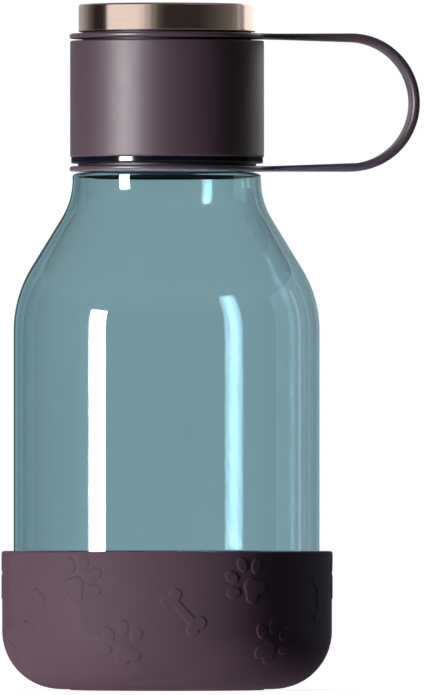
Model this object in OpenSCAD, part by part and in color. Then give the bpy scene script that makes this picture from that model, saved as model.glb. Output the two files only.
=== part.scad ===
// Dog travel water bottle that stands in its own drinking bowl.
// The bottle's axis is Z, and Z = 0 is the surface under the bowl.
// The carry handle points along +X when it is at rest.

/* [Bottle] */
// Outside diameter of the bottle's straight body
bottle_d = 112; // [100:1:124]
// Height of the straight body above the bottle's own base
body_h = 126.7; // [90:0.1:170]
// Wall thickness of the bottle
bottle_wall = 2; // [1.5:0.1:2.6]
// Angle between the shoulder's straight stretch and the axis
shoulder_slope = 31.6; // [28:0.1:40]
// Outside radius of the bend from the body into the shoulder
shoulder_r = 45; // [20:1:50]
// Outside radius of the hollow bend from the shoulder into the throat
throat_r = 27; // [12:1:32]
// Height of the rounded ledge on top of the throat
ledge_h = 2.6; // [2:0.1:4]
// Height that the base is pushed up in its middle
punt_h = 5; // [2:0.1:8]
// Radius of the pushed-up middle of the base
punt_r = 30; // [20:1:33]

/* [Neck and thread] */
// Outside diameter of the neck under its thread
neck_d = 56.8; // [50:0.1:60]
// Wall thickness of the neck
neck_wall = 2.4; // [2:0.1:4]
// Height of the neck above the ledge
neck_h = 23.1; // [21:0.1:26]
// Height of the thread's ridge
thread_depth = 1.5; // [1:0.1:2]
// Rise of the thread in one turn
thread_lead = 12; // [10:0.5:14]
// How many ridges the thread has
thread_starts = 2; // [1:1:2]
// How far round each ridge runs, in turns
thread_turns = 0.75; // [0.4:0.05:0.8]
// Radial gap between the two threads
thread_gap = 0.4; // [0.3:0.05:0.8]
// Height of the lower end of the neck's ridge above the ledge
thread_z = 9.1; // [7:0.1:10]

/* [Bowl] */
// Height of the bowl
bowl_h = 50.7; // [35:0.1:70]
// Wall thickness of the bowl
bowl_wall = 3.9; // [2.5:0.1:5]
// Outside radius of the bowl's bottom corner
bowl_corner_r = 21.2; // [12:0.1:24]
// Diameter of the flat foot under the bowl
foot_d = 70.8; // [50:0.1:74]
// Height of the foot
foot_h = 0.4; // [0.2:0.1:1.5]
// Gap between the bowl and the bottle
bowl_gap = 0.3; // [0.2:0.05:0.6]

/* [Lid] */
// Wall thickness of the liner round its thread
liner_wall = 3; // [2.2:0.1:4]
// Wall thickness of the outer sleeve
shell_wall = 2; // [1.2:0.1:3]
// Height of the outer sleeve
shell_h = 42.5; // [36:0.1:50]
// Height of the band that shows under the sleeve
band_h = 2.2; // [1.5:0.1:4]
// How far the band stands in from the sleeve
band_inset = 0.4; // [0.2:0.1:1]
// Thickness of the liner's roof over the bottle's mouth
roof_t = 2.5; // [1.5:0.1:3]
// Thickness of the sealing ring
gasket_t = 2.5; // [1.5:0.1:3]
// Diameter of the boss that stands up through the sleeve
boss_d = 61.4; // [56:0.1:62]
// Wall thickness of the boss
boss_wall = 2.2; // [1.6:0.1:3]

/* [Metal cover] */
// Height of the metal cover
cover_h = 10.1; // [7:0.1:14]
// Thickness of the cover's rim
cover_wall = 1.5; // [0.8:0.1:1.8]
// Thickness of the cover's top
cover_top_t = 1.2; // [0.8:0.1:2]
// Rounding of the cover's edges
cover_round = 0.7; // [0.3:0.1:0.7]
// Thickness of the bonding ring under the cover
bond_t = 0.25; // [0.15:0.05:0.5]

/* [Carry handle] */
// Thickness of the two rings
ring_t = 2; // [1.5:0.1:2.4]
// How far the rings stand out from the sleeve
ring_proud = 0.2; // [0:0.1:1]
// Distance from the sleeve to the outside of the handle
handle_reach = 56.9; // [45:0.1:75]
// Width of the strap
strap_w = 14; // [10:0.5:20]
// Thickness of the strap in its bend
strap_t = 3; // [2.2:0.1:4]
// Radius of the hollow corners between a ring and the strap
web_r = 14; // [6:1:20]
// Gap between the lower ring and the bottle's ledge
ring_drop_gap = 0.4; // [0.3:0.1:0.6]
// Gap between the lower ring and the band above it
ring_band_gap = 0.9; // [0.3:0.1:1.2]
// Gap between the upper ring and the sleeve below it
ring_shell_gap = 0.8; // [0.3:0.1:1.2]
// Gap between the upper ring and the metal cover above it
ring_cover_gap = 0.4; // [0.3:0.1:0.8]

/* [Fits] */
// Radial gap where a ring or a seal turns round another piece
turn_gap = 0.3; // [0.2:0.05:0.5]
// Radial gap between pieces that are pressed together
press_gap = 0.1; // [0.05:0.05:0.2]
// Gap between the end of the lid's skirt and the bottle's ledge
skirt_gap = 0.3; // [0.2:0.05:0.6]

/* [Hidden] */
$fn = 96;

eps = 0.01;
arc_steps = 14;
thread_steps = 40;
// How deep a ridge's root is sunk into the wall that carries it
ridge_sink = 0.6;
// Share of the ridge's length over which each of its ends fades out
ridge_fade = 0.1;
// Extra corner radius that keeps the bottle off the bowl's inner corner
corner_relief = 1.2;

// Radii, from the neck outwards
neck_r = neck_d / 2;
mouth_r = neck_r - neck_wall;
thread_bore_r = neck_r + thread_depth + thread_gap;
liner_r = thread_bore_r + liner_wall;
shell_bore_r = liner_r + press_gap;
lid_r = shell_bore_r + shell_wall;
band_r = lid_r - band_inset;
// The skirt steps in below the band, where the lower ring turns round it
skirt_step = 0.8;
skirt_r = liner_r - skirt_step;
// The throat stands a little in from the lid
throat_inset = 0.9;
ledge_r = lid_r - throat_inset;
boss_r = boss_d / 2;
cover_bore_r = boss_r + press_gap;
cover_r = cover_bore_r + cover_wall;
ring_r = lid_r + ring_proud;

// Ridge section: wide at the root and narrow at the crest
ridge_root_w = 2 * thread_depth;
ridge_crest_w = 1.4;
ridge_slope = (ridge_root_w - ridge_crest_w) / 2 / thread_depth;
// Axial distance from the neck's ridge down to the lid's ridge that it holds
thread_play = 0.35;
mesh_drop = ridge_root_w - ridge_slope * (thread_depth + thread_gap) + thread_play;

// Bowl and bottle, from the ground up
bottle_r = bottle_d / 2;
bowl_r = bottle_r + bowl_gap + bowl_wall;
bowl_inner_corner_r = bowl_corner_r - bowl_wall;
bottle_corner_r = bowl_inner_corner_r + corner_relief;
bottle_z = foot_h + bowl_wall;
shoulder_z = bottle_z + body_h;

// The shoulder's two bends are limited by the width that they share
shoulder_run = bottle_r - ledge_r;
bend_run = (shoulder_r + throat_r) * (1 - cos(shoulder_slope));
bend_k = min(1, 0.95 * shoulder_run / bend_run);
bend_out_r = bend_k * shoulder_r;
bend_in_r = bend_k * throat_r;
straight_l = (shoulder_run - bend_k * bend_run) / sin(shoulder_slope);
shoulder_h = (bend_out_r + bend_in_r) * sin(shoulder_slope) + straight_l * cos(shoulder_slope);
throat_z = shoulder_z + shoulder_h;
ledge_z = throat_z + ledge_h;
neck_top_z = ledge_z + neck_h;
// The ledge is domed: flat at its inner end and rounded over its outer edge
ledge_dome_w = ledge_r - neck_r - 2;

// Lid, from the ledge up
skirt_z = ledge_z + skirt_gap;
lower_ring_z = ledge_z + ring_drop_gap;
band_z = lower_ring_z + ring_t + ring_band_gap;
shell_z = band_z + band_h;
shell_top_z = shell_z + shell_h;
upper_ring_z = shell_top_z + ring_shell_gap;
cover_z = upper_ring_z + ring_t + ring_cover_gap;
cover_top_z = cover_z + cover_h;
boss_top_z = cover_top_z - cover_top_t - bond_t;
roof_z = neck_top_z + gasket_t;

// Sealing ring, over the rim of the neck
gasket_in_r = mouth_r - 0.5;
gasket_out_r = thread_bore_r - turn_gap;
// Rib under the roof that centres the sealing ring
rib_r = gasket_in_r - turn_gap;
rib_w = 2.2;
rib_h = 1.5;

// Carry handle: two rings joined by a strap with a half-round bend
handle_low_z = lower_ring_z;
handle_high_z = upper_ring_z + ring_t;
bend_r = (handle_high_z - handle_low_z) / 2;
bend_x = lid_r + handle_reach - bend_r;
bend_z = handle_low_z + bend_r;

// Points of an arc in the plane of a profile, both ends included
function arc(centre, r, a0, a1, steps = arc_steps) =
    [for (i = [0 : steps]) let (a = a0 + (a1 - a0) * i / steps) centre + r * [cos(a), sin(a)]];

// Points of a quarter of an ellipse, from the top down to the side
function dome(centre, w, h, steps = arc_steps) =
    [for (i = [0 : steps]) let (a = 90 - 90 * i / steps) centre + [w * cos(a), h * sin(a)]];

// Shoulder from the throat down to the body, moved inwards by t
function shoulder(t) = concat(
    arc([ledge_r + bend_in_r, throat_z], bend_in_r + t, 180, 180 + shoulder_slope),
    arc([bottle_r - bend_out_r, shoulder_z], bend_out_r - t, shoulder_slope, 0)
);

// Pushed-up middle of the base, from the foot's inner edge to the axis, moved up by t
punt_sphere_r = (punt_r * punt_r + punt_h * punt_h) / (2 * punt_h);
punt_angle = asin(punt_r / punt_sphere_r);
function punt(t) = arc(
    [0, bottle_z + punt_h - punt_sphere_r], punt_sphere_r + t, 90 - punt_angle, 90
);

// One ridge of a thread: depth is below zero where it stands inwards
module thread_ridge(root_r, depth, z, start_a) {
    steps = ceil(thread_steps * thread_turns);
    side = sign(depth);
    function fade(s) = max(0.03, min(1, s / ridge_fade, (1 - s) / ridge_fade));
    function section(s) =
        let (
            d = depth * fade(s),
            crest = ridge_root_w - 2 * ridge_slope * abs(d),
            root = ridge_root_w + 2 * ridge_slope * ridge_sink
        )
        [
            [root_r - side * ridge_sink, -root / 2],
            [root_r + d, -crest / 2],
            [root_r + d, crest / 2],
            [root_r - side * ridge_sink, root / 2],
        ];
    points = [
        for (i = [0 : steps], k = [0 : 3])
            let (
                s = i / steps,
                p = section(s)[side > 0 ? k : 3 - k],
                a = start_a + 360 * thread_turns * s
            )
            [p[0] * cos(a), p[0] * sin(a), z + thread_lead * thread_turns * s + p[1]]
    ];
    skin = [
        for (i = [0 : steps - 1], k = [0 : 3])
            let (
                a = 4 * i + k,
                b = 4 * i + (k + 1) % 4
            )
            each [[a, b, b + 4], [a, b + 4, a + 4]]
    ];
    last = 4 * steps;
    ends = [
        [0, 2, 1], [0, 3, 2],
        [last, last + 1, last + 2], [last, last + 2, last + 3],
    ];
    polyhedron(points, concat(skin, ends), convexity = 6);
}

// All the ridges of a thread, evenly spaced round it
module thread(root_r, depth, z) {
    for (i = [0 : thread_starts - 1])
        thread_ridge(root_r, depth, z, 360 * i / thread_starts);
}

module tube(outer, inner, z, h) {
    translate([0, 0, z])
        difference() {
            cylinder(r = outer, h = h);
            translate([0, 0, -eps]) cylinder(r = inner, h = h + 2 * eps);
        }
}

// Drinking bowl: straight wall, large bottom corner and a flat foot
module bowl() {
    outer_corner = [bowl_r - bowl_corner_r, foot_h + bowl_corner_r];
    inner_corner = [bowl_r - bowl_corner_r, bottle_z + bowl_inner_corner_r];
    color("#6f5765")
        rotate_extrude()
            polygon(concat(
                [[0, 0], [foot_d / 2, 0], [foot_d / 2, foot_h]],
                arc(outer_corner, bowl_corner_r, -90, 0),
                [[bowl_r, bowl_h], [bowl_r - bowl_wall, bowl_h]],
                arc(inner_corner, bowl_inner_corner_r, 0, -90),
                [[0, bottle_z]]
            ));
}

// Clear bottle: one even wall from the pushed-up base to the shoulder, with a threaded neck
module bottle_body() {
    corner = [bottle_r - bottle_corner_r, bottle_z + bottle_corner_r];
    ledge_centre = [ledge_r - ledge_dome_w, throat_z];
    color("#7195a0", 0.45) {
        rotate_extrude()
            polygon(concat(
                [[neck_r, neck_top_z], [neck_r, ledge_z]],
                dome(ledge_centre, ledge_dome_w, ledge_h),
                shoulder(0),
                arc(corner, bottle_corner_r, 0, -90),
                punt(0),
                [for (i = [arc_steps : -1 : 0]) punt(bottle_wall)[i]],
                arc(corner, bottle_corner_r - bottle_wall, -90, 0),
                [for (i = [2 * arc_steps + 1 : -1 : 0]) shoulder(bottle_wall)[i]],
                [for (i = [arc_steps : -1 : 0])
                    dome(ledge_centre, ledge_dome_w - bottle_wall, ledge_h - bottle_wall)[i]],
                [[mouth_r, ledge_z - bottle_wall], [mouth_r, neck_top_z]]
            ));
        thread(neck_r, thread_depth, ledge_z + thread_z);
    }
}

// Sealing ring between the rim of the neck and the liner's roof
module lid_gasket() {
    color("#c9c6c4") tube(gasket_out_r, gasket_in_r, neck_top_z, gasket_t);
}

// Black inner lid: threaded skirt, band, roof over the mouth, and the hollow boss on top
module lid_liner() {
    shoulder_top_z = shell_top_z - shell_wall;
    color("#1b1c22") {
        difference() {
            union() {
                translate([0, 0, skirt_z]) cylinder(r = skirt_r, h = shoulder_top_z - skirt_z);
                translate([0, 0, band_z]) cylinder(r = band_r, h = band_h);
                translate([0, 0, shell_z]) cylinder(r = liner_r, h = shoulder_top_z - shell_z);
                translate([0, 0, shoulder_top_z - eps])
                    cylinder(r = boss_r, h = boss_top_z - shoulder_top_z + eps);
            }
            translate([0, 0, skirt_z - eps])
                cylinder(r = thread_bore_r, h = roof_z - skirt_z + eps);
            translate([0, 0, roof_z + roof_t])
                cylinder(r = boss_r - boss_wall, h = boss_top_z - roof_z);
        }
        tube(rib_r, rib_r - rib_w, roof_z - rib_h, rib_h + eps);
        thread(thread_bore_r, -thread_depth, ledge_z + thread_z - mesh_drop);
    }
}

// Outer sleeve: slid down over the liner, with a lip that rests on its shoulder
module lid_shell() {
    edge_r = 0.6;
    color("#75596b")
        rotate_extrude()
            polygon(concat(
                [[shell_bore_r, shell_z]],
                arc([lid_r - edge_r, shell_z + edge_r], edge_r, -90, 0, 4),
                arc([lid_r - edge_r, shell_top_z - edge_r], edge_r, 0, 90, 4),
                [[boss_r + press_gap, shell_top_z], [boss_r + press_gap, shell_top_z - shell_wall]],
                [[shell_bore_r, shell_top_z - shell_wall]]
            ));
}

// Thin bonding ring between the boss and the metal cover
module cover_adhesive() {
    color("#d8d5cf") tube(boss_r, boss_r - boss_wall, boss_top_z, bond_t);
}

// Metal cover: a shallow cup pressed over the boss, which keeps the upper ring on it
module lid_top_cover() {
    color("#a98c7f")
        rotate_extrude()
            polygon(concat(
                [[cover_bore_r, cover_z]],
                arc([cover_r - cover_round, cover_z + cover_round], cover_round, -90, 0, 4),
                arc([cover_r - cover_round, cover_top_z - cover_round], cover_round, 0, 90, 4),
                [[0, cover_top_z], [0, cover_top_z - cover_top_t]],
                [[cover_bore_r, cover_top_z - cover_top_t]]
            ));
}

// Handle seen from the side: two flat rings that run into the strap, which thickens to its bend
module handle_side() {
    inner_r = bend_r - strap_t;
    difference() {
        union() {
            translate([-ring_r, handle_low_z]) square([ring_r + bend_x, 2 * bend_r]);
            translate([bend_x, bend_z]) circle(r = bend_r);
        }
        translate([bend_x, bend_z]) circle(r = inner_r);
        polygon([
            [-ring_r - 1, handle_low_z + ring_t],
            [ring_r, handle_low_z + ring_t],
            [bend_x, bend_z - inner_r],
            [bend_x, bend_z + inner_r],
            [ring_r, handle_high_z - ring_t],
            [-ring_r - 1, handle_high_z - ring_t],
        ]);
    }
}

// Handle seen from above: a round ring, the strap, and hollow corners between them
module handle_plan() {
    web_y = strap_w / 2 + web_r;
    web_x = sqrt(pow(ring_r + web_r, 2) - pow(web_y, 2));
    circle(r = ring_r);
    translate([0, -strap_w / 2]) square([bend_x + bend_r + 1, strap_w]);
    difference() {
        polygon([[0, 0], [web_x, -web_y], [web_x, web_y]]);
        for (side = [-1, 1])
            translate([web_x, side * web_y]) circle(r = web_r);
    }
}

// One flexible moulding: it is sprung over the boss and the skirt, and turns round them
module carry_handle() {
    color("#6d5163")
        difference() {
            intersection() {
                rotate([90, 0, 0])
                    linear_extrude(height = 2 * ring_r + 2, center = true) handle_side();
                translate([0, 0, handle_low_z - 1])
                    linear_extrude(height = 2 * bend_r + 2) handle_plan();
            }
            translate([0, 0, upper_ring_z - 1]) cylinder(r = boss_r + turn_gap, h = ring_t + 2);
            translate([0, 0, lower_ring_z - 1]) cylinder(r = skirt_r + turn_gap, h = ring_t + 2);
        }
}

bowl();
bottle_body();
lid_gasket();
lid_liner();
lid_shell();
cover_adhesive();
lid_top_cover();
carry_handle();
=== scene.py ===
# Dog travel water bottle standing in its drinking bowl.
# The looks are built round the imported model. Z is the bottle's axis and the handle points along +X.
from math import asin, atan2, ceil, cos, degrees, pi, radians, sin, sqrt, tan, tau
import bpy
import bmesh
import numpy as np
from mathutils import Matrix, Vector


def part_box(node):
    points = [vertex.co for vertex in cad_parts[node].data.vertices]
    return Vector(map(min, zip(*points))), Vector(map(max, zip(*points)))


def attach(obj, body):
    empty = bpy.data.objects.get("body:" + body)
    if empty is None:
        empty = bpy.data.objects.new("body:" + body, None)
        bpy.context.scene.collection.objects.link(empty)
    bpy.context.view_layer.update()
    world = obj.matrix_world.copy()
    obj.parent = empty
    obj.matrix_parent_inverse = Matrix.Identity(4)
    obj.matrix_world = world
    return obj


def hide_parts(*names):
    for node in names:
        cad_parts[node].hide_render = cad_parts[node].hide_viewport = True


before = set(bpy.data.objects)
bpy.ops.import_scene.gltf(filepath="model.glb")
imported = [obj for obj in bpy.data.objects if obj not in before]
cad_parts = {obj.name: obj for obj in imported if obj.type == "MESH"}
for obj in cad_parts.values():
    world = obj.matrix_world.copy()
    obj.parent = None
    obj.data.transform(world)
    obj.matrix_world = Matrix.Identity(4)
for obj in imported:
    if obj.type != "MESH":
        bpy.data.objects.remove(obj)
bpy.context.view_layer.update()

mm = 0.001
tiny = 1e-7  # a length below this, in metres, counts as none
scene = bpy.context.scene


# A piece's lengths, given in mm
def inMillimetres(**lengths):
    return {name: length * mm for name, length in lengths.items()}


# Mesh helpers

# Points of an arc in the (radius, height) plane, both ends included, angles in degrees
def arcPoints(centre, radius, fromDeg, toDeg, step=3.0):
    steps = max(3, ceil(abs(toDeg - fromDeg) / step))
    angles = [radians(fromDeg + (toDeg - fromDeg) * i / steps) for i in range(steps + 1)]
    return [(centre[0] + radius * cos(a), centre[1] + radius * sin(a)) for a in angles]


# Straight stretch between two points with a guard point near each end, so that flats shade flat
def straightPoints(start, end, guard=0.35 * mm, spacing=6 * mm):
    a, b = Vector(start), Vector(end)
    length = (b - a).length
    if length < 3 * guard:
        return []
    inner = max(1, ceil((length - 2 * guard) / spacing))
    shares = [(guard + (length - 2 * guard) * i / inner) / length for i in range(inner + 1)]
    return [tuple(a.lerp(b, s)) for s in shares]


# Closed profile from corners (radius, height, rounding). A corner whose rounding is 0 stays sharp
def roundedProfile(corners):
    arcs = []
    count = len(corners)
    for i, (r, z, rounding) in enumerate(corners):
        here = Vector((r, z))
        toBefore = (Vector(corners[i - 1][:2]) - here).normalized()
        toAfter = (Vector(corners[(i + 1) % count][:2]) - here).normalized()
        if rounding <= 0:
            arcs.append([(r, z)])
            continue
        half = toBefore.angle(toAfter) / 2
        centre = here + (toBefore + toAfter).normalized() * rounding / sin(half)
        first = here + toBefore * rounding / tan(half) - centre
        last = here + toAfter * rounding / tan(half) - centre
        turn = atan2(first.x * last.y - first.y * last.x, first.dot(last))
        startAngle = atan2(first.y, first.x)
        arcs.append(arcPoints(centre, rounding, degrees(startAngle), degrees(startAngle + turn), step=15))
    points = []
    for i, arc in enumerate(arcs):
        points += arc
        points += straightPoints(arc[-1], arcs[(i + 1) % count][0])
    return points


# Smooth-shaded object from points and faces; weld joins points that are nearer than that
def meshObject(name, vertices, faces, weld=0.0):
    mesh = bpy.data.meshes.new(name)
    mesh.from_pydata([tuple(v) for v in vertices], [], faces)
    work = bmesh.new()
    work.from_mesh(mesh)
    if weld:
        bmesh.ops.remove_doubles(work, verts=work.verts, dist=weld)
    bmesh.ops.recalc_face_normals(work, faces=work.faces)
    work.to_mesh(mesh)
    work.free()
    mesh.shade_smooth()
    piece = bpy.data.objects.new(name, mesh)
    scene.collection.objects.link(piece)
    return piece


# Faces between each ring and the next; a ring may be a single point on the axis
def bridgeRings(faces, rings):
    for low, high in zip(rings, rings[1:]):
        steps = max(len(low), len(high))
        if steps == 1:
            continue
        for k in range(steps):
            n = (k + 1) % steps
            if len(low) == 1:
                faces.append((low[0], high[n], high[k]))
            elif len(high) == 1:
                faces.append((low[k], low[n], high[0]))
            else:
                faces.append((low[k], low[n], high[n], high[k]))


# Turns a closed profile round Z. lift(angles, radius, height) may move points out or in, as for a thread
def latheObject(name, profile, steps=192, lift=None):
    vertices, rings, faces = [], [], []
    angles = np.arange(steps) * tau / steps
    for r, z in profile:
        if r < tiny:
            rings.append([len(vertices)])
            vertices.append((0, 0, z))
            continue
        radii = np.full(steps, r)
        if lift:
            radii = radii + lift(angles, r, z)
        rings.append(range(len(vertices), len(vertices) + steps))
        vertices += list(zip(radii * np.cos(angles), radii * np.sin(angles), np.full(steps, z)))
    bridgeRings(faces, rings + rings[:1])
    return meshObject(name, vertices, faces)


# Gives a piece its material and body, and hides the imported nodes that it stands for
def dress(piece, body, slot, material, *nodes):
    piece.data.materials.clear()
    piece.data.materials.append(material)
    if nodes:
        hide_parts(*nodes)
    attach(piece, body)


# Material helpers

# The nodes and links of one tree, a material's or the world's
class Nodes:
    def __init__(self, tree):
        self.tree = tree

    def node(self, kind, **settings):
        made = self.tree.nodes.new(kind)
        for key, value in settings.items():
            setattr(made, key, value)
        return made

    def link(self, source, target):
        self.tree.links.new(source, target)

    # Rescales a value from one range to another
    def spread(self, value, low, high, toLow=0.0, toHigh=1.0, smooth=False):
        made = self.node("ShaderNodeMapRange")
        if smooth:
            made.interpolation_type = "SMOOTHSTEP"
        for socket, number in zip(("From Min", "From Max", "To Min", "To Max"), (low, high, toLow, toHigh)):
            made.inputs[socket].default_value = number
        self.link(value, made.inputs["Value"])
        return made.outputs["Result"]

    def math(self, operation, first, second):
        made = self.node("ShaderNodeMath", operation=operation)
        for socket, value in zip(made.inputs, (first, second)):
            if isinstance(value, (int, float)):
                socket.default_value = value
            else:
                self.link(value, socket)
        return made.outputs["Value"]

    # A vector's length or direction, or its product with another
    def vectorMath(self, operation, vector, other=None):
        made = self.node("ShaderNodeVectorMath", operation=operation)
        self.link(vector, made.inputs[0])
        if other is not None:
            made.inputs[1].default_value = other
        return made.outputs["Vector" if operation == "NORMALIZE" else "Value"]

    # 1 for what the camera sees directly or through the clear wall, 0 for mirrored and lighting rays
    def seenStraight(self):
        path = self.node("ShaderNodeLightPath")
        unmirrored = self.math("LESS_THAN", path.outputs["Glossy Depth"], 0.5)
        through = self.math("MULTIPLY", path.outputs["Is Transmission Ray"], unmirrored)
        return self.math("MAXIMUM", path.outputs["Is Camera Ray"], through)


# A material under construction, with its main shader
class Maker(Nodes):
    def __init__(self, name, **sockets):
        self.material = bpy.data.materials.new(name)
        self.material.use_nodes = True
        super().__init__(self.material.node_tree)
        self.shader = self.tree.nodes["Principled BSDF"]
        self.output = self.tree.nodes["Material Output"]
        self.here = self.node("ShaderNodeTexCoord").outputs["Object"]
        for socket, value in sockets.items():
            self.shader.inputs[socket.replace("_", " ")].default_value = value

    def split(self, vector):
        axes = self.node("ShaderNodeSeparateXYZ")
        self.link(vector, axes.inputs["Vector"])
        return [axes.outputs[axis] for axis in "XYZ"]

    def combine(self, *parts):
        made = self.node("ShaderNodeCombineXYZ")
        for axis, part in zip("XYZ", parts):
            self.link(part, made.inputs[axis])
        return made.outputs["Vector"]

    def noise(self, scale, detail=3.0, roughness=0.55, vector=None):
        made = self.node("ShaderNodeTexNoise")
        made.inputs["Scale"].default_value = scale
        made.inputs["Detail"].default_value = detail
        made.inputs["Roughness"].default_value = roughness
        self.link(vector or self.here, made.inputs["Vector"])
        return made.outputs["Fac"]

    # Noise that runs from 0 to 1 between two of its levels
    def mottle(self, scale, detail, low=0.35, high=0.65):
        return self.spread(self.noise(scale, detail), low, high)

    # Brings noise to a middle value, give or take the reach
    def waver(self, noise, middle, reach):
        return self.spread(noise, 0.3, 0.7, middle - reach, middle + reach)

    # Mixes two colours by a value; each may be a colour or another node's output
    def blendColour(self, amount, first, second):
        made = self.node("ShaderNodeMix", data_type="RGBA")
        self.link(amount, made.inputs["Factor"])
        for socket, colour in ((made.inputs[6], first), (made.inputs[7], second)):
            if isinstance(colour, tuple):
                socket.default_value = (*colour, 1)
            else:
                self.link(colour, socket)
        return made.outputs[2]

    # Adds a bump to the shader; later bumps stand on earlier ones
    def bump(self, height, distance, strength=1.0):
        made = self.node("ShaderNodeBump")
        made.inputs["Distance"].default_value = distance
        made.inputs["Strength"].default_value = strength
        self.link(height, made.inputs["Height"])
        socket = self.shader.inputs["Normal"]
        if socket.is_linked:
            self.link(socket.links[0].from_socket, made.inputs["Normal"])
        self.link(made.outputs["Normal"], socket)

    def set(self, socket, value):
        self.link(value, self.shader.inputs[socket])

    # 1 near one height and 0 away from it, for edges of turned pieces
    def nearHeight(self, height, reach, core=0.0):
        z = self.split(self.here)[2]
        away = self.math("ABSOLUTE", self.math("SUBTRACT", z, height), 0.0)
        return self.spread(away, core, reach, 1.0, 0.0, smooth=True)


def tinted(colour, factor):
    return tuple(channel * factor for channel in colour)


# Materials

siliconeLook = {"colour": (0.150, 0.092, 0.122), "roughness": 0.66, "shine": 0.12, "grain": 0.03 * mm}
shellLook = {"colour": (0.093, 0.055, 0.077), "roughness": 0.485, "shine": 0.5, "grain": 0.008 * mm}
handleLook = {"colour": (0.1, 0.06, 0.084), "roughness": 0.36, "shine": 0.5, "grain": 0.015 * mm}
# Tones of all plum plastics, as shares of their colour, and how much the specks and the rubbing do. The
# crease share is painted shade: a darker tone laid along the feet of the bowl's figures
plumTones = {"dark": 0.96, "pale": 1.035, "speck": 1.08, "crease": 0.9, "rubbed": 1.5}
plumWear = {"specks": 0.35, "unevenness": 0.015,
            "rubReach": 0.7 * mm, "rubAmount": (0.1, 0.5), "rubGloss": 0.12}
linerLook = {"colour": (0.0045, 0.0055, 0.014), "roughness": 0.07, "smudged": 0.16,
             "moulded": (0.024, 0.02, 0.03), "mouldedRoughness": 0.5}
coverLook = {"colour": (0.60, 0.465, 0.40), "dull": (0.55, 0.41, 0.35), "dullness": 0.25,
             "roughness": 0.17, "unevenness": 0.02, "anisotropic": 0.4,
             "lines": 2200, "bands": 500}  # how fast the spun lines and broad bands follow each other
bottleLook = {"colour": (0.455, 0.600, 0.642), "roughness": 0.012}
gasketLook = {"colour": (0.62, 0.61, 0.59), "roughness": 0.5}
bondLook = {"colour": (0.55, 0.53, 0.48), "roughness": 0.7}


# Soft or painted plum plastic: tone that drifts, fine grain, pale rubbing at two heights, and painted shade
# darkening the creases
def plumMaterial(name, look, rubbedAt=None, creases=None):
    make = Maker(name, Roughness=look["roughness"], Specular_IOR_Level=look["shine"])
    tones = {key: tinted(look["colour"], share) for key, share in plumTones.items()}
    tone = make.blendColour(make.mottle(scale=22, detail=4), tones["dark"], tones["pale"])
    specks = make.math("MULTIPLY", make.mottle(900, 2, low=0.4, high=0.6), plumWear["specks"])
    tone = make.blendColour(specks, tone, tones["speck"])
    # Painted shade: a darker tone where a figure's foot meets the wall, read from a mesh attribute
    if creases:
        crease = make.node("ShaderNodeAttribute", attribute_name=creases).outputs["Fac"]
        tone = make.blendColour(crease, tone, tones["crease"])
    finish = make.waver(make.noise(scale=160), look["roughness"], plumWear["unevenness"])
    if rubbedAt:
        rubbed = make.math("MAXIMUM", *[make.nearHeight(z, plumWear["rubReach"]) for z in rubbedAt])
        patchy = make.spread(make.noise(scale=260), 0.38, 0.62, *plumWear["rubAmount"])
        rubbed = make.math("MULTIPLY", rubbed, patchy)
        tone = make.blendColour(rubbed, tone, tones["rubbed"])
        finish = make.math("SUBTRACT", finish, make.math("MULTIPLY", rubbed, plumWear["rubGloss"]))
    make.set("Base Color", tone)
    make.set("Roughness", finish)
    make.bump(make.noise(scale=2600, detail=2), look["grain"], 0.6)
    make.bump(make.noise(scale=420, detail=2), look["grain"] * 2, 0.35)
    return make.material


# Only the band is polished: what lies deep in the gaps above and below it is left as moulded
def linerMaterial(bandHeight):
    make = Maker("glossyDarkPlastic", Specular_IOR_Level=0.5)
    tone = make.blendColour(make.mottle(scale=40, detail=3), tinted(linerLook["colour"], 0.85),
                            tinted(linerLook["colour"], 1.2))
    smudges = make.noise(scale=90, detail=5, roughness=0.65)
    gloss = make.spread(smudges, 0.4, 0.75, linerLook["roughness"], linerLook["smudged"])
    polished = make.nearHeight(bandHeight, 1.5 * mm, core=1.1 * mm)
    make.set("Base Color", make.blendColour(polished, linerLook["moulded"], tone))
    dull = make.spread(polished, 0.0, 1.0, linerLook["mouldedRoughness"], 0.0)
    make.set("Roughness", make.math("MAXIMUM", gloss, dull))
    make.bump(make.noise(scale=500, detail=2), 0.004 * mm, 0.4)
    return make.material


# Spun metal: fine lines run round the axis, on the rim and on the top alike
def coverMaterial():
    make = Maker("brushedRoseBronze", Metallic=1.0, Anisotropic=coverLook["anisotropic"],
                 Anisotropic_Rotation=0.25)
    x, y, z = make.split(make.here)
    flat = make.combine(x, y)
    across = make.math("SUBTRACT", make.vectorMath("LENGTH", flat), z)
    around = make.split(make.vectorMath("NORMALIZE", flat))[:2]

    # Noise that hardly changes round the axis, and fast across it
    def spun(pace, *settings):
        return make.noise(*settings, vector=make.combine(*around, make.math("MULTIPLY", across, pace)))

    lines = spun(coverLook["lines"], 2.6, 6, 0.72)
    bands = spun(coverLook["bands"], 1.4, 3)
    tone = make.blendColour(make.spread(lines, 0.35, 0.65), tinted(coverLook["colour"], 0.97),
                            tinted(coverLook["colour"], 1.025))
    dulled = make.spread(bands, 0.4, 0.7, 0.0, coverLook["dullness"])
    make.set("Base Color", make.blendColour(dulled, tone, coverLook["dull"]))
    make.set("Roughness", make.waver(lines, coverLook["roughness"], coverLook["unevenness"]))
    make.bump(lines, 0.0018 * mm, 0.3)
    tangent = make.node("ShaderNodeTangent", direction_type="RADIAL", axis="Z")
    make.set("Tangent", tangent.outputs["Tangent"])
    return make.material


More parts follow.
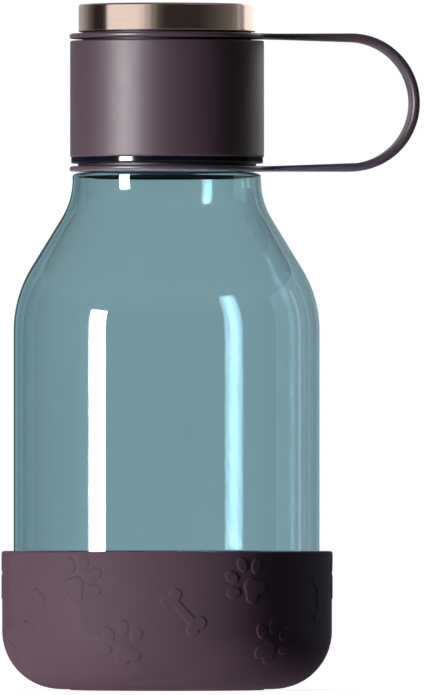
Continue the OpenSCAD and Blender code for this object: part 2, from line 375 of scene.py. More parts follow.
# Clear tinted plastic. Lamps shine through it: a shadow ray sees a plain tint
def bottleMaterial():
    make = Maker("clearTeal", Transmission_Weight=1.0, IOR=1.5, Roughness=bottleLook["roughness"])
    drift = make.mottle(14, 2, low=0.3, high=0.7)
    make.set("Base Color", make.blendColour(drift, tinted(bottleLook["colour"], 0.985),
                                            tinted(bottleLook["colour"], 1.012)))
    make.bump(make.noise(scale=26, detail=2), 0.05 * mm, 0.12)  # faint slow waves of a blown wall
    clear = make.node("ShaderNodeBsdfTransparent")
    clear.inputs["Color"].default_value = (*[part ** 0.5 for part in bottleLook["colour"]], 1)
    mix = make.node("ShaderNodeMixShader")
    make.link(make.node("ShaderNodeLightPath").outputs["Is Shadow Ray"], mix.inputs["Fac"])
    make.link(make.shader.outputs["BSDF"], mix.inputs[1])
    make.link(clear.outputs["BSDF"], mix.inputs[2])
    make.link(mix.outputs["Shader"], make.output.inputs["Surface"])
    return make.material


# Pale silicone or hard adhesive with a dusty mottling
def paleMaterial(name, look):
    make = Maker(name)
    make.set("Base Color", make.blendColour(make.mottle(scale=120, detail=4),
                                            tinted(look["colour"], 0.9), tinted(look["colour"], 1.05)))
    make.set("Roughness", make.waver(make.noise(scale=300), look["roughness"], 0.06))
    make.bump(make.noise(scale=1500), 0.02 * mm, 0.5)
    return make.material


print("materials ready")


# Drinking bowl

bowl = {
    **inMillimetres(
        wall=3.9, cornerRadius=21.2, footRadius=35.4, footHeight=0.4, footRound=0.15, rimRound=0.5,
        footLedge=0.4,  # width of the flat ring beside the foot
        reliefHeight=0.25,
        reliefEdge=0.4,  # width of a figure's soft edge
        crease=0.25,  # how far the painted shade reaches from a figure's foot
        splitBeyond=0.2),  # cells this far from a figure's edge are split too
    "columns": 352,  # cells round the wall
    "fine": 4,  # parts, each way, into which a cell under a figure's edge is split
    "repeat": 180,  # the row of figures comes again after this many degrees
    "turn": -6,  # direction of the figures' zero, from the front
}
# Figures on the wall: kind, degrees to the right of the zero, height of its middle in mm, tilt in degrees
bowlFigures = [
    ("paw", -92, 38, -20), ("paw", -33.7, 37.6, -42), ("paw", 31.5, 37.2, 46),
    ("paw", -73, 14, 35), ("paw", -14.5, 13.4, 22), ("paw", 38, 14.2, -30),
    ("bone", -54, 28, -30), ("bone", 6.0, 28.7, 42), ("bone", 66, 33.5, 4),
]
figureReach = 26  # mm from a figure's middle within which its distance counts
# Lengths in mm, for one paw and one bone. merge is how softly their parts flow together
paw = {
    "toes": [(-54, 8.2), (-18, 9.8), (18, 9.8), (54, 8.2)],  # degrees from straight up, distance
    "toeLong": 2.7,
    "toeWide": 1.95,
    "pad": [(0, 1.3, 2.9), (-2.5, -1.5, 2.4), (2.5, -1.5, 2.4)],  # across, up, radius
    "merge": 1.6,
}
bone = {"half": 6.8, "shaft": 1.45, "knob": 2.25, "knobAside": 1.9, "merge": 0.9}


# Nearer of two distances, with a soft change from one to the other over the width k
def smoothUnion(a, b, k):
    h = np.clip(0.5 + 0.5 * (b - a) / k, 0, 1)
    return b * (1 - h) + a * h - k * h * (1 - h)


# Signed distance in mm to one figure, below zero inside it
def figureDistance(kind, x, y):
    if kind == "paw":
        pads = [np.hypot(x - px, y - py) - pr for px, py, pr in paw["pad"]]
        nearest = smoothUnion(smoothUnion(pads[0], pads[1], paw["merge"]), pads[2], paw["merge"])
        for lean, reach in paw["toes"]:
            c, s = cos(radians(lean)), sin(radians(lean))
            along = x * s + y * c - reach
            aside = x * c - y * s
            level = np.hypot(along / paw["toeLong"], aside / paw["toeWide"])
            slope = np.hypot(along / paw["toeLong"] ** 2, aside / paw["toeWide"] ** 2)
            nearest = np.minimum(nearest, (level - 1) * level / np.maximum(slope, 1e-3))
        return nearest
    ends = np.hypot(np.abs(x) - bone["knobAside"], np.abs(y) - bone["half"]) - bone["knob"]
    shaft = np.maximum(np.abs(x) - bone["shaft"], np.abs(y) - bone["half"])
    return smoothUnion(ends, shaft, bone["merge"])


# Signed distance to the nearest figure, for points of the wall given by angle, radius and length up the wall
def reliefDistance(bearings, radius, upWall):
    nearest = np.full(np.broadcast(bearings, upWall).shape, 1e3)
    for kind, middle, height, tilt in bowlFigures:
        for again in range(0, 360, bowl["repeat"]):
            away = (bearings - middle - again + 180) % 360 - 180
            across = np.radians(away) * radius / mm
            up = upWall / mm - height
            c, s = cos(radians(tilt)), sin(radians(tilt))
            here = np.abs(across) + np.abs(up) < figureReach
            x = (across * c + up * s)[here]
            y = (up * c - across * s)[here]
            nearest[here] = np.minimum(nearest[here], figureDistance(kind, x, y))
    return nearest * mm


def buildBowl():
    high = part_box("bowl")[1]
    outer, top = high.x, high.z
    corner = bowl["cornerRadius"]
    centre = (outer - corner, bowl["footHeight"] + corner)
    rim = bowl["rimRound"]
    # The outside wall as a length that runs from the foot, up round the corner, to the rim
    cornerLength = corner * pi / 2
    wallLength = cornerLength + top - rim - centre[1]
    rows = round(wallLength / (1 * mm))
    columns, fine = bowl["columns"], bowl["fine"]
    lengths = np.arange(rows * fine + 1) * wallLength / (rows * fine)
    lean = np.clip(1 - lengths / cornerLength, 0, 1) * pi / 2  # from straight out, downwards
    radii = centre[0] + corner * np.cos(lean)
    heights = centre[1] - corner * np.sin(lean) + np.maximum(lengths - cornerLength, 0)
    upWall = lengths - cornerLength + centre[1]
    bearings = np.arange(columns * fine) * 360 / (columns * fine)
    distance = reliefDistance(bearings[None, :], radii[:, None], np.repeat(upWall[:, None], len(bearings), 1))
    rise = np.clip(0.5 - distance / bowl["reliefEdge"], 0, 1)
    rise = rise * rise * (3 - 2 * rise) * bowl["reliefHeight"]
    # Angles count from the front towards +X, as the camera's azimuth does
    azimuth = np.radians(bearings + bowl["turn"])
    reach = radii[:, None] + rise * np.cos(lean)[:, None]
    xs = reach * np.sin(azimuth)
    ys = -reach * np.cos(azimuth)
    zs = heights[:, None] - rise * np.sin(lean)[:, None] + 0 * azimuth
    # Painted shade: how strongly each point is darkened along a figure's foot
    creased = np.clip(1 - np.abs(distance - bowl["reliefEdge"] / 3) / bowl["crease"], 0, 1)

    vertices, crease, index = [], [], {}

    def vertex(i, k):
        key = (i, k % (columns * fine))
        if key not in index:
            index[key] = len(vertices)
            vertices.append((xs[key], ys[key], zs[key]))
            crease.append(creased[key])
        return index[key]

    nearEdge = np.abs(distance) < bowl["reliefEdge"] / 2 + bowl["splitBeyond"]
    split = np.zeros((rows, columns), bool)
    for i in range(rows):
        band = nearEdge[i * fine:(i + 1) * fine + 1]
        wrapped = np.concatenate([band, band[:, :1]], axis=1)
        for step in range(fine + 1):
            split[i] |= wrapped[:, step:step + columns * fine:fine][:, :columns].any(axis=0)
    split[0] = split[-1] = False
    faces = []
    for i in range(rows):
        for k in range(columns):
            a, b = i * fine, k * fine
            if split[i, k]:
                for p in range(fine):
                    for q in range(fine):
                        faces.append((vertex(a + p, b + q), vertex(a + p, b + q + 1),
                                      vertex(a + p + 1, b + q + 1), vertex(a + p + 1, b + q)))
                continue
            below = i > 0 and split[i - 1, k]
            above = i < rows - 1 and split[i + 1, k]
            left, right = split[i, k - 1], split[i, (k + 1) % columns]
            # Round the cell, with every point of a side that its neighbour splits
            loop = []
            for up, along, divided in ((0, 1, below), (1, 0, right), (0, -1, above), (-1, 0, left)):
                for step in range(0, fine, 1 if divided else fine):
                    loop.append(vertex(a + up * step, b + along * step))
                a, b = a + up * fine, b + along * fine
            faces.append(tuple(loop))

    # The rest of the section: over the rim, down the inside and across the floor, and then under the foot
    inside = outer - bowl["wall"]
    innerCorner = corner - bowl["wall"]
    floorZ = bowl["footHeight"] + bowl["wall"]
    section = arcPoints((outer - rim, top - rim), rim, 0, 90, step=15)[1:]
    section += straightPoints(section[-1], (inside + rim, top))
    section += arcPoints((inside + rim, top - rim), rim, 90, 180, step=15)
    section += straightPoints((inside, top - rim), (inside, floorZ + innerCorner), spacing=3 * mm)
    section += arcPoints((outer - corner, floorZ + innerCorner), innerCorner, 0, -90, step=5)
    section += straightPoints((outer - corner, floorZ), (0, floorZ))[:-1] + [(0, floorZ)]
    foot, footRound = bowl["footRadius"], bowl["footRound"]
    under = [(0, 0)] + straightPoints((0, 0), (foot - footRound, 0))[1:]
    under += arcPoints((foot - footRound, footRound), footRound, -90, 0, step=30)
    under += [(foot, bowl["footHeight"]), (foot + bowl["footLedge"], bowl["footHeight"])]
    coarse = np.radians(np.arange(columns) * 360 / columns + bowl["turn"])

    def ring(r, z):
        start = len(vertices)
        if r < tiny:
            vertices.append((0, 0, z))
        else:
            vertices.extend(zip(r * np.sin(coarse), -r * np.cos(coarse), np.full(columns, z)))
        crease.extend([0] * (len(vertices) - start))
        return list(range(start, len(vertices)))

    wallTop = [vertex(rows * fine, k * fine) for k in range(columns)]
    wallFoot = [vertex(0, k * fine) for k in range(columns)]
    bridgeRings(faces, [wallTop] + [ring(r, z) for r, z in section])
    bridgeRings(faces, [ring(r, z) for r, z in under] + [wallFoot])

    piece = meshObject("drinkingBowl", vertices, faces)
    # The painted shade along the figures' feet goes to the mesh as an attribute
    tones = piece.data.attributes.new("crease", "FLOAT", "POINT")
    tones.data.foreach_set("value", np.array(crease, np.float32))
    rubber = plumMaterial("plumSilicone", siliconeLook, creases="crease")
    dress(piece, "bowl", "bowl_silicone", rubber, "bowl")
    print("bowl:", len(piece.data.polygons), "faces")


buildBowl()


# Threads

thread = {
    **inMillimetres(
        depth=1.5, rootWidth=3.0, crestWidth=1.4, lead=12,
        neckStart=9.1,  # the neck's ridge begins this far above the ledge
        lidDrop=2.337),  # the lid's ridge lies this far under the neck's
    "turns": 0.75, "starts": 2, "fade": 0.1,
}


# How far the ridges stand out at given angles and one height
def threadLift(angles, z, firstZ):
    rise = np.zeros_like(angles)
    flank = (thread["rootWidth"] - thread["crestWidth"]) / 2
    for start in range(thread["starts"]):
        along = ((angles / tau - start / thread["starts"]) % 1) / thread["turns"]
        ridgeZ = firstZ + thread["lead"] * thread["turns"] * along
        ends = np.clip(np.minimum(along, 1 - along) / thread["fade"], 0, 1)
        side = np.clip((thread["rootWidth"] / 2 - np.abs(z - ridgeZ)) / flank, 0, 1)
        shape = side * side * (3 - 2 * side) * np.sqrt(ends)
        rise = np.maximum(rise, np.where(along <= 1, shape, 0))
    return rise * thread["depth"]


# Straight threaded stretch, in rows fine enough for the ridges
def threadRows(r, fromZ, toZ, spacing=0.32 * mm):
    count = max(2, round(abs(toZ - fromZ) / spacing))
    return [(r, fromZ + (toZ - fromZ) * i / count) for i in range(1, count)]


# Bottle

bottle = {
    **inMillimetres(
        wall=2.0, neckWall=2.4, neckHeight=23.1, neckRadius=28.4,
        lip=0.7, neckFoot=0.8,  # roundings at the neck's upper and lower end
        mouthBend=1.5, mouthDrop=1.2,  # rounding inside, and its centre under the ledge
        ledgeHeight=2.6, ledgeRim=1.0, ledgeWall=1.3, ledgeRadius=34.5,
        ledgeFlat=2,  # flat part of the ledge beside the neck
        cornerRadius=18.5, puntRadius=30, puntHeight=5,
        bodyHeight=126.7, shoulderBend=45, throatBend=27),
    "slope": 31.6,  # degrees of the shoulder from upright
}


def buildBottle():
    low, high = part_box("bottle_body")
    radius, base, top = high.x, low.z, high.z
    slope, lip, neckFoot, mouthBend = [bottle[key] for key in ("slope", "lip", "neckFoot", "mouthBend")]
    neck, mouth = bottle["neckRadius"], bottle["neckRadius"] - bottle["neckWall"]
    ledgeZ = top - bottle["neckHeight"]
    throatZ = ledgeZ - bottle["ledgeHeight"]
    throatCentre = (bottle["ledgeRadius"] + bottle["throatBend"], throatZ)
    shoulderCentre = (radius - bottle["shoulderBend"], base + bottle["bodyHeight"])
    cornerCentre = (radius - bottle["cornerRadius"], base + bottle["cornerRadius"])
    domeWide = bottle["ledgeRadius"] - neck - bottle["ledgeFlat"]
    domeCentre = (bottle["ledgeRadius"] - domeWide, throatZ + bottle["ledgeRim"])
    sphere = (bottle["puntRadius"] ** 2 + bottle["puntHeight"] ** 2) / (2 * bottle["puntHeight"])
    puntAngle = degrees(asin(bottle["puntRadius"] / sphere))
    puntCentre = (0, base + bottle["puntHeight"] - sphere)

    # From the ledge's edge down to the base, moved into the material by depth, and the ledge by ledgeDepth
    def outline(depth, ledgeDepth):
        wide, tall = domeWide - depth, bottle["ledgeHeight"] - bottle["ledgeRim"] - ledgeDepth
        quarter = [radians(90 - a) for a in range(0, 91, 6)]
        points = [(domeCentre[0] + wide * cos(a), domeCentre[1] + tall * sin(a)) for a in quarter]
        ledgeFoot = (domeCentre[0] + wide, throatZ)
        points += straightPoints(points[-1], ledgeFoot) + [ledgeFoot]
        points += arcPoints(throatCentre, bottle["throatBend"] + depth, 180, 180 + slope, step=1.6)[1:]
        bend = arcPoints(shoulderCentre, bottle["shoulderBend"] - depth, slope, 0, step=1.6)
        points += straightPoints(points[-1], bend[0], spacing=2.5 * mm) + bend
        corner = arcPoints(cornerCentre, bottle["cornerRadius"] - depth, 0, -90)
        points += straightPoints(bend[-1], corner[0]) + corner
        punt = arcPoints(puntCentre, sphere + depth, 90 - puntAngle, 90, step=2)
        points += straightPoints(corner[-1], punt[0])[:-1]
        return points + punt

    profile = arcPoints((neck + neckFoot, ledgeZ + neckFoot), neckFoot, 180, 270, step=15)
    profile += outline(0, 0) + outline(bottle["wall"], bottle["ledgeWall"])[::-1]
    profile += arcPoints((mouth + mouthBend, ledgeZ - bottle["mouthDrop"]), mouthBend, 230, 180, step=10)
    profile += straightPoints((mouth, ledgeZ), (mouth, top - lip), spacing=3 * mm)
    profile += arcPoints((mouth + lip, top - lip), lip, 180, 90, step=15)
    profile += arcPoints((neck - lip, top - lip), lip, 90, 0, step=15)
    profile += threadRows(neck, top - lip, ledgeZ + neckFoot)
    firstZ = ledgeZ + thread["neckStart"]

    def lift(angles, r, z):
        return threadLift(angles, z, firstZ) if abs(r - neck) < tiny and z >= ledgeZ else 0

    piece = latheObject("clearBottle", profile, steps=256, lift=lift)
    dress(piece, "bottle", "bottle_clear", bottleMaterial(), "bottle_body")
    print("bottle:", len(piece.data.polygons), "faces")


buildBottle()


# Lid

liner = inMillimetres(
    bore=30.3, band=35.0, body=33.3, skirt=32.5,  # radii
    bandLow=3.0, bandHigh=5.2, roofLow=25.3, roof=2.5, shoulder=45.7,  # above the skirt's end
    boss=30.7, bossWall=2.2, ribOut=25.2, ribIn=23.0, ribHeight=1.5,
    round=0.35, bossRound=0.3, ribRoot=0.4, roofRoot=0.6,  # roundings
    bandUnder=0.25, bandTop=0.2, bandRoot=0.15)
shell = inMillimetres(
    bore=33.4, lip=30.8, lipHeight=2.0, round=0.6, innerRound=0.2, lipRound=0.3,
    rubbedIn=0.1)  # the rubbing's middle, in from each end
cover = inMillimetres(bore=30.8, top=1.2, round=0.8, innerRound=0.3, footRound=0.4)
gasket = inMillimetres(
    bore=25.5, round=0.5, grooveDepth=0.35, grooveRound=0.2,
    grooveHalf=1.2, grooveFloor=0.8)  # half widths of the groove, at its mouth and its floor


def buildLiner():
    low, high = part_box("lid_liner")
    start, top, r, bore, body = low.z, high.z, liner["round"], liner["bore"], liner["body"]
    bandLow, bandHigh = start + liner["bandLow"], start + liner["bandHigh"]
    roofLow, roofTop = start + liner["roofLow"], start + liner["roofLow"] + liner["roof"]
    ribLow = roofLow - liner["ribHeight"]
    shoulderZ = start + liner["shoulder"]
    boss, hollow, soft = liner["boss"], liner["boss"] - liner["bossWall"], liner["bossRound"]
    corners = [
        (0, roofLow, 0), (liner["ribIn"], roofLow, liner["ribRoot"]), (liner["ribIn"], ribLow, r),
        (liner["ribOut"], ribLow, r), (liner["ribOut"], roofLow, liner["ribRoot"]),
        (bore, roofLow, soft), (bore, start, r), (liner["skirt"], start, r),
        (liner["skirt"], bandLow, liner["bandUnder"]), (liner["band"], bandLow, r),
        (liner["band"], bandHigh, liner["bandTop"]), (body, bandHigh, liner["bandRoot"]),
        (body, shoulderZ, r), (boss, shoulderZ, soft), (boss, top, soft),
        (hollow, top, soft), (hollow, roofTop, liner["roofRoot"]), (0, roofTop, 0),
    ]
    profile = roundedProfile(corners)
    onBore = [i for i, p in enumerate(profile) if abs(p[0] - bore) < tiny]
    first, last = onBore[0], onBore[-1]
    profile[first + 1:last] = threadRows(bore, profile[first][1], profile[last][1])
    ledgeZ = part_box("bottle_body")[1].z - bottle["neckHeight"]
    firstZ = ledgeZ + thread["neckStart"] - thread["lidDrop"]

    def lift(angles, r, z):
        return -threadLift(angles, z, firstZ) if abs(r - bore) < tiny else 0

    piece = latheObject("innerLid", profile, lift=lift)
    middle = start + (liner["bandLow"] + liner["bandHigh"]) / 2
    dress(piece, "lid", "lid_black", linerMaterial(middle), "lid_liner")


def buildShell():
    low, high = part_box("lid_shell")
    outer, r, inner = high.x, shell["round"], shell["innerRound"]
    lipLow = high.z - shell["lipHeight"]
    corners = [
        (shell["bore"], low.z, inner), (outer, low.z, r), (outer, high.z, r),
        (shell["lip"], high.z, shell["lipRound"]), (shell["lip"], lipLow, inner),
        (shell["bore"], lipLow, inner),
    ]
    piece = latheObject("lidSleeve", roundedProfile(corners), steps=256)
    rubbedAt = (low.z + shell["rubbedIn"], high.z - shell["rubbedIn"])
    dress(piece, "lid", "lid_plum", plumMaterial("satinPlum", shellLook, rubbedAt), "lid_shell")


def buildCover():
    low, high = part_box("lid_top_cover")
    underTop, foot = high.z - cover["top"], cover["footRound"]
    corners = [
        (cover["bore"], low.z, cover["innerRound"]), (high.x, low.z, foot), (high.x, high.z, cover["round"]),
        (0, high.z, 0), (0, underTop, 0), (cover["bore"], underTop, foot),
    ]
    piece = latheObject("metalCover", roundedProfile(corners), steps=256)
    dress(piece, "lid", "cover_metal", coverMaterial(), "lid_top_cover")


def buildGasket():
    low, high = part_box("lid_gasket")
    outer, inner, r, soft = high.x, gasket["bore"], gasket["round"], gasket["grooveRound"]
    middle, half, floorHalf = (outer + inner) / 2, gasket["grooveHalf"], gasket["grooveFloor"]
    grooveZ = low.z + gasket["grooveDepth"]
    corners = [
        (inner, low.z, r), (middle - half, low.z, soft), (middle - floorHalf, grooveZ, soft),
        (middle + floorHalf, grooveZ, soft), (middle + half, low.z, soft),
        (outer, low.z, r), (outer, high.z, r), (inner, high.z, r),
    ]
    piece = latheObject("sealingRing", roundedProfile(corners), steps=128)
    dress(piece, "seal", "seal_silicone", paleMaterial("paleSilicone", gasketLook), "lid_gasket")


buildLiner()
buildShell()
buildCover()
buildGasket()
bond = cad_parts["cover_adhesive"]
bond.data.materials.clear()
bond.data.materials.append(paleMaterial("adhesive", bondLook))
print("lid ready")


# Carry handle

handle = inMillimetres(
    upperBore=31.0, lowerBore=32.8, ringThick=1.8, ringRadius=35.6,
    strapWidth=14.0, bendThick=3.0, webRadius=14.0,
    dip=0.2,  # how much lower the upper ring's top is than the strap
    edge=0.75,  # rounding of the rings' long edges
    bendEdge=1.35,  # and of the strap's in the bend, where its sides are almost half round
    innerEdge=0.4,  # rounding of the rings' bores
    strapStart=45.6)  # where the plain strap begins


# Rounded edge from one face to the other: (how far in from the outline, share of the thickness)
def edgeSteps(rounding, thickness, count=5):
    quarter = [pi / 2 * i / count for i in range(count + 1)]
    first = [(rounding * (1 - sin(a)), rounding * (1 - cos(a)) / thickness) for a in quarter]
    return first + [(inset, 1 - share) for inset, share in first[::-1]]


def buildHandle():
    low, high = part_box("carry_handle")
    half = handle["strapWidth"] / 2
    ring, web = handle["ringRadius"], handle["webRadius"]
    bendOuter = (high.z - low.z) / 2
    bendX, bendZ = high.x - bendOuter, (high.z + low.z) / 2
    cutX = handle["strapStart"]
    webX = sqrt((ring + web) ** 2 - (half + web) ** 2)
    webTurn = degrees(atan2(half + web, webX))

    def along(x):
        return min(max((x - ring) / (bendX - ring), 0), 1)

    def thickness(x):
        return handle["ringThick"] + along(x) * (handle["bendThick"] - handle["ringThick"])

    def rounding(x):
        return handle["edge"] + along(x) * (handle["bendEdge"] - handle["edge"])

    # Height at a share of the thickness, from the outer face. side is 1 for the upper ring, whose outer face
    # looks up, and -1 for the lower
    def level(x, side, share=0):
        face = high.z - handle["dip"] * (1 - along(x)) if side > 0 else low.z
        return face - side * share * thickness(x)

    acrossStrap = [0, 0.35, 0.7, 0.93]  # shares of the half width, denser towards the edge
    acrossRing = [0, 0.09, 0.35, 0.65, 0.91, 1]  # shares of the way from the bore to the outline
    sideSteps, webSteps, ringSteps, straightSteps, turnSteps = 2, 14, 64, 12, 72

    # Outline of a ring and the start of its strap, seen from above: point and outward direction
    outline = []
    for i in range(sideSteps + 1):
        outline.append((cutX + (webX - cutX) * i / sideSteps, half, 0, 1))
    for i in range(1, webSteps + 1):
        a = radians(-90 - (90 - webTurn) * i / webSteps)
        outline.append((webX + web * cos(a), half + web + web * sin(a), -cos(a), -sin(a)))
    for i in range(1, ringSteps + 1):
        a = radians(webTurn + (180 - webTurn) * i / ringSteps)
        outline.append((ring * cos(a), ring * sin(a), cos(a), sin(a)))
    mirrored = [(x, -y, nx, -ny) for x, y, nx, ny in outline[-2::-1]]
    vertices, faces = [], []

    def addRing(bore, side):
        inner = handle["innerEdge"]
        inward = [share * (half - rounding(cutX)) for share in acrossStrap]
        columns = [("cut", cutX, y, 0, 0) for y in inward]
        columns += [("edge", *o) for o in outline + mirrored]
        columns += [("cut", cutX, -y, 0, 0) for y in inward[:0:-1]]
        rows = []
        for kind, x, y, nx, ny in columns:
            edge = rounding(x)
            insetX, insetY = (x, y) if kind == "cut" else (x - nx * edge, y - ny * edge)
            a = atan2(insetY, insetX)
            dx, dy = cos(a), sin(a)
            startX, startY = (bore + inner) * dx, (bore + inner) * dy
            across = [(startX + (insetX - startX) * s, startY + (insetY - startY) * s) for s in acrossRing]
            faceTop = [(px, py, level(px, side)) for px, py in across]
            faceLow = [(px, py, level(px, side, 1)) for px, py in across[::-1]]
            bank = [(x - nx * inset, y - ny * inset, level(x, side, share))
                    for inset, share in edgeSteps(edge, thickness(x))[1:-1] if kind == "edge"]
            innerBank = [((bore + inset) * dx, (bore + inset) * dy, level(0, side, share))
                         for inset, share in edgeSteps(inner, thickness(0), 3)[1:-1][::-1]]
            row = []
            for part in (faceTop, bank, faceLow, innerBank):
                row.append(list(range(len(vertices), len(vertices) + len(part))))
                vertices.extend(part)
            rows.append((kind, row))
        for (kind, row), (nextKind, nextRow) in zip(rows, rows[1:] + rows[:1]):
            chain = row[2] + row[3] + row[0]
            nextChain = nextRow[2] + nextRow[3] + nextRow[0]
            if kind == "edge" and nextKind == "edge":
                chain += row[1] + row[2][:1]
                nextChain += nextRow[1] + nextRow[2][:1]
            faces.extend(zip(chain, chain[1:], nextChain[1:], nextChain))

    addRing(handle["upperBore"], 1)
    addRing(handle["lowerBore"], -1)

    # Strap stations: a point on the outer face, and the direction through the thickness
    stations = []
    for i in range(straightSteps):
        x = cutX + (bendX - cutX) * i / straightSteps
        stations.append((x, level(x, 1), 0, -1))
    for i in range(turnSteps + 1):
        a = pi / 2 - pi * i / turnSteps
        c, s = cos(a), sin(a)
        stations.append((bendX + bendOuter * c, bendZ + bendOuter * s, -c, -s))
    for i in range(1, straightSteps + 1):
        stations.append((bendX + (cutX - bendX) * i / straightSteps, low.z, 0, 1))
    rings = []
    for x, z, tx, tz in stations:
        t, edge = thickness(x), rounding(x)
        flat = [share * (half - edge) for share in acrossStrap]
        flat = [-y for y in flat[:0:-1]] + flat
        banks = edgeSteps(edge, t)
        section = [(edge - half, 0)] + [(y, 0) for y in flat]
        section += [(half - inset, share) for inset, share in banks]
        section += [(y, 1) for y in flat[::-1]]
        section += [(inset - half, 1 - share) for inset, share in banks[:-1]]
        rings.append(range(len(vertices), len(vertices) + len(section)))
        vertices.extend((x + tx * share * t, y, z + tz * share * t) for y, share in section)
    bridgeRings(faces, rings)

    piece = meshObject("carryHandle", vertices, faces, weld=0.002 * mm)
    dress(piece, "handle", "handle_plum", plumMaterial("satinPlumStrap", handleLook), "carry_handle")
    print("handle:", len(piece.data.polygons), "faces")


buildHandle()


# Camera, floor, lamps and background

view = {
    **inMillimetres(
        height=253.7,  # how much height the picture shows
        aside=16.4,  # the picture's middle, to the right of the axis
        middle=125.0,  # and above the ground
        eye=75),  # the camera's own height, from which the bowl's rim is nearly edge-on
    "turn": -6,  # degrees round Z, below zero is to the left of the front
    "lens": 1000, "sensor": 36,
}
floorLook = {
    "radius": 3.0, "rings": 8, "steps": 96, "albedo": 0.5, "bounce": 0.05, "glow": 0.9, "mirrored": 0.3,
    "fadeFrom": 0.3, "fadeTo": 0.8,  # the floor turns plain white between these distances
}
# azimuth counts from the camera, to the right; sizes in metres; radiance where 1 is white
usualLamp = {"colour": (1, 1, 1), "diffuse": False, "glossy": True, "through": False}
onBottle, onCover = {"only": ["clearBottle"]}, {"only": ["metalCover"]}
onLid = {"only": ["metalCover", "lidSleeve", "carryHandle"]}
# After these columns comes what a lamp has that isn't usual
lampColumns = ("name", "azimuth", "away", "width", "low", "high", "radiance")
lampRows = [
    ("tallStrip", -53.3, 2.4, 0.552, -0.2, 0.84, 85, onBottle),
    ("tallStripThrough", -54.9, 2.3, 0.62, -1.3, 0.85, 120, {"glossy": False, "through": True, **onBottle}),
    ("tallStripCore", -54.9, 2.2, 0.25, -1.25, 0.82, 250, {"glossy": False, "through": True, **onBottle}),
    ("tallStripLid", -50.6, 2.5, 0.72, -0.2, 0.9, 44, {"without": ["metalCover", "clearBottle"]}),
    ("tallStripSoft", -52.5, 2.6, 0.65, -3.7, 0.75, 12.7,
     {"colour": (1, 0.985, 0.985), "diffuse": True, "glossy": False}),
    ("coverBox", -61, 2.4, 2.14, 0.0, 1.2, 1.38, onCover),
    ("rearRightEnd", 113, 1.0, 0.3, 0.2, 0.8, 0.4, onCover),
    ("coverRight", 102, 2.4, 0.67, 0.0, 1.2, 0.05, {"colour": (1, 0.95, 0.9), **onCover}),
    ("topGlow", 52, 2.4, 2.3, 1.05, 2.2, 0.26, {"colour": (1, 0.98, 0.95), **onCover}),
    ("bowlSheen", 112, 2.5, 3.4, 0.0, 1.2, 0.9, {"colour": (0.5, 0.72, 1), "only": ["drinkingBowl"]}),
    ("backFill", 168, 1.2, 0.7, -0.1, 0.7, 6.0,
     {"colour": (0.9, 0.97, 1), "diffuse": True, "glossy": False, "without": ["paleFloor"]}),
    ("rearRight", 142, 1.0, 0.8, 0.2, 0.8, 1.6, onLid),
    ("rearLeft", -156, 1.0, 0.8, 0.2, 0.8, 0.45, onLid),
    ("rearRightEdge", 171, 1.05, 0.3, 0.2, 0.8, 1.6, onCover),
    ("thinStrip", 116.5, 1.0, 0.08, 0.0, 0.5, 1.1, {"colour": (0.9, 0.97, 1), **onBottle}),
    ("paleWallLeft", -148, 1.2, 0.5, -0.05, 0.65, 0.85, {"colour": (0.45, 0.88, 1), **onBottle}),
    ("paleWallFarLeft", -127, 1.15, 0.36, -0.05, 0.65, 0.35, {"colour": (0.45, 0.88, 1), **onBottle}),
    ("paleWallBehind", 180, 1.25, 0.95, -0.05, 0.65, 0.12, {"colour": (0.45, 0.86, 1), **onBottle}),
    ("paleRightEdge", 171, 1.3, 0.4, -0.3, 1.5, 1.3, {"colour": (0.8, 1, 1), **onBottle}),
    ("paleWallRight", 146, 1.2, 0.58, -0.05, 0.65, 0.95, {"colour": (0.58, 0.9, 1), **onBottle}),
    ("paleWallFarRight", 111, 1.15, 0.95, -0.05, 0.65, 0.8, {"colour": (0.62, 0.92, 1), **onBottle}),
]
# The boxes that the metal cover mirrors fade out towards the front: name, first azimuth, radiances
coverFades = [("coverBoxEnd", -33, (1.15, 0.7, 0.27, 0.05)), ("rearLeftEnd", -130, (0.28, 0.12, 0.05)),
              ("coverRightEnd", 50, (0.02, 0.04, 0.065, 0.1, 0.13, 0.165, 0.195, 0.23))]
fadeTurn = 8  # degrees from one step to the next
for name, azimuth, radiances in coverFades:
    for i, radiance in enumerate(radiances):
        lampRows.append((name + str(i + 1), azimuth + fadeTurn * i, 2.4, 0.335, 0.0, 1.2, radiance, onCover))
lamps = [{**usualLamp, **dict(zip(lampColumns, row)), **row[-1]} for row in lampRows]
overhead = {**usualLamp, "name": "softTop", "height": 1.3, "width": 0.5, "low": 0, "high": 0.5,
            "radiance": 3.6, "diffuse": True, "glossy": False}
# Brightness that reflections find in the world, and between which leans of a ray, back or up, it changes
backdrop = {"ambient": 0.018, "front": 0.006, "behind": 0.05, "above": 0.22,
            "behindFrom": 0.2, "behindFull": 0.55, "aboveFrom": 0.18, "aboveFull": 0.5}


# Direction on the ground for an azimuth in degrees: 0 looks from the front, and 90 is +X
def direction(azimuth):
    a = radians(azimuth)
    return Vector((sin(a), -cos(a), 0))


# Flat lamp at a place, facing the target; only and without name the pieces that it lights or leaves out
def addLamp(lamp, place, target):
    data = bpy.data.lights.new(lamp["name"], "AREA")
    data.shape = "RECTANGLE"
    data.size, data.size_y = lamp["width"], lamp["high"] - lamp["low"]
    data.energy = lamp["radiance"] * pi * data.size * data.size_y
    data.color = lamp["colour"]
    made = bpy.data.objects.new(lamp["name"], data)
    made.location = place
    made.rotation_mode = "QUATERNION"
    made.rotation_quaternion = (target - place).to_track_quat("-Z", "Y")
    made.visible_camera = False
    made.visible_transmission = lamp["through"]
    made.visible_diffuse, made.visible_glossy = lamp["diffuse"], lamp["glossy"]
    scene.collection.objects.link(made)
    linked = lamp.get("only") or lamp.get("without")
    if linked:
        group = bpy.data.collections.new(lamp["name"] + "Pieces")
        for name in linked:
            group.objects.link(bpy.data.objects[name])
        made.light_linking.receiver_collection = group
        for entry in group.collection_objects:
            entry.light_linking.link_state = "INCLUDE" if "only" in lamp else "EXCLUDE"


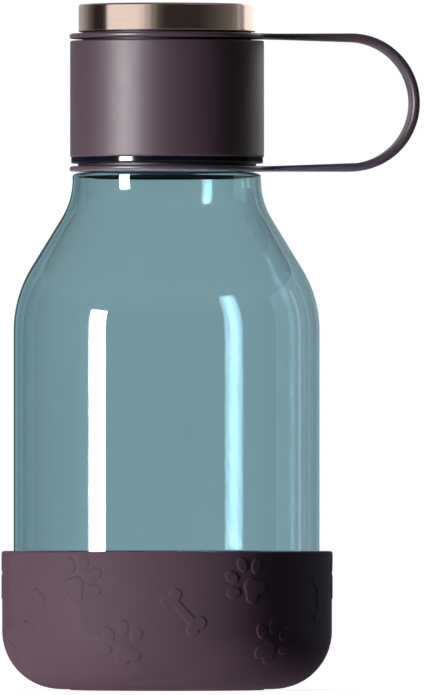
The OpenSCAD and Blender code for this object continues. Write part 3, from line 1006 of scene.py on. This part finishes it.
def buildLamps():
    for lamp in lamps:
        middle = Vector((0, 0, (lamp["low"] + lamp["high"]) / 2))
        addLamp(lamp, direction(view["turn"] + lamp["azimuth"]) * lamp["away"] + middle, middle)
    addLamp(overhead, Vector((0, 0, overhead["height"])), Vector((0, 0, 0)))


def buildFloor():
    steps = floorLook["steps"]
    vertices, faces, rings = [(0, 0, 0)], [], [[0]]
    for i in range(floorLook["rings"]):
        r = floorLook["radius"] * (i + 1) / floorLook["rings"]
        rings.append(range(len(vertices), len(vertices) + steps))
        vertices += [(r * cos(tau * k / steps), r * sin(tau * k / steps), 0) for k in range(steps)]
    bridgeRings(faces, rings)
    floor = meshObject("paleFloor", vertices, faces)
    if floor.data.polygons[0].normal.z < 0:
        floor.data.flip_normals()
    make = Maker("paleFloor", Roughness=0.8, Specular_IOR_Level=0.0)
    path = make.node("ShaderNodeLightPath")
    make.set("Base Color", make.blendColour(path.outputs["Is Camera Ray"], (floorLook["bounce"],) * 3,
                                            (floorLook["albedo"],) * 3))
    mirrored = make.math("MULTIPLY", path.outputs["Is Glossy Ray"], floorLook["mirrored"])
    seen = make.math("MAXIMUM", make.seenStraight(), mirrored)
    away = make.vectorMath("LENGTH", make.here)
    glow = make.spread(away, floorLook["fadeFrom"], floorLook["fadeTo"], floorLook["glow"], 1.0)
    make.shader.inputs["Emission Color"].default_value = (1, 1, 1, 1)
    make.set("Emission Strength", make.math("MULTIPLY", seen, glow))
    floor.data.materials.append(make.material)
    floor.visible_shadow = False  # a light table: the key lamp reaches under the bowl's corner
    floor.visible_transmission = False  # and the clear wall mirrors the strip's lower end


# White behind the object for the camera and through the bottle; lamps do the lighting
def buildWorld():
    world = bpy.data.worlds.new("studio")
    scene.world = world
    world.use_nodes = True
    world.node_tree.nodes.clear()
    sky = Nodes(world.node_tree)
    toward = sky.node("ShaderNodeTexCoord").outputs["Generated"]
    behind = sky.spread(sky.vectorMath("DOT_PRODUCT", toward, -direction(view["turn"])),
                        backdrop["behindFrom"], backdrop["behindFull"],
                        backdrop["front"], backdrop["behind"], smooth=True)
    above = sky.spread(sky.vectorMath("DOT_PRODUCT", toward, (0, 0, 1)),
                       backdrop["aboveFrom"], backdrop["aboveFull"], 0.0, backdrop["above"], smooth=True)
    mirrored = sky.node("ShaderNodeLightPath").outputs["Is Glossy Ray"]
    reflected = sky.math("MULTIPLY", mirrored, sky.math("MAXIMUM", behind, above))
    ambient = sky.math("MAXIMUM", reflected, backdrop["ambient"])
    shade = sky.node("ShaderNodeBackground")
    shade.inputs["Color"].default_value = (1, 1, 1, 1)
    sky.link(sky.math("MAXIMUM", sky.seenStraight(), ambient), shade.inputs["Strength"])
    sky.link(shade.outputs["Background"], sky.node("ShaderNodeOutputWorld").inputs["Surface"])


def buildCamera():
    data = bpy.data.cameras.new("camera")
    data.lens, data.sensor_width = view["lens"], view["sensor"]
    data.clip_start, data.clip_end = 0.1, 60
    camera = bpy.data.objects.new("camera", data)
    towards = direction(view["turn"])
    right = Vector((-towards.y, towards.x, 0))
    aim = right * view["aside"] + Vector((0, 0, view["middle"]))
    away = towards * view["height"] * view["lens"] / data.sensor_width
    camera.location = aim + away + Vector((0, 0, view["eye"] - view["middle"]))
    camera.rotation_mode = "QUATERNION"
    camera.rotation_quaternion = (aim - camera.location).to_track_quat("-Z", "Y")
    scene.collection.objects.link(camera)
    scene.camera = camera


buildCamera()
buildFloor()
buildLamps()
buildWorld()
scene.view_settings.view_transform = "Standard"
print("stage ready")
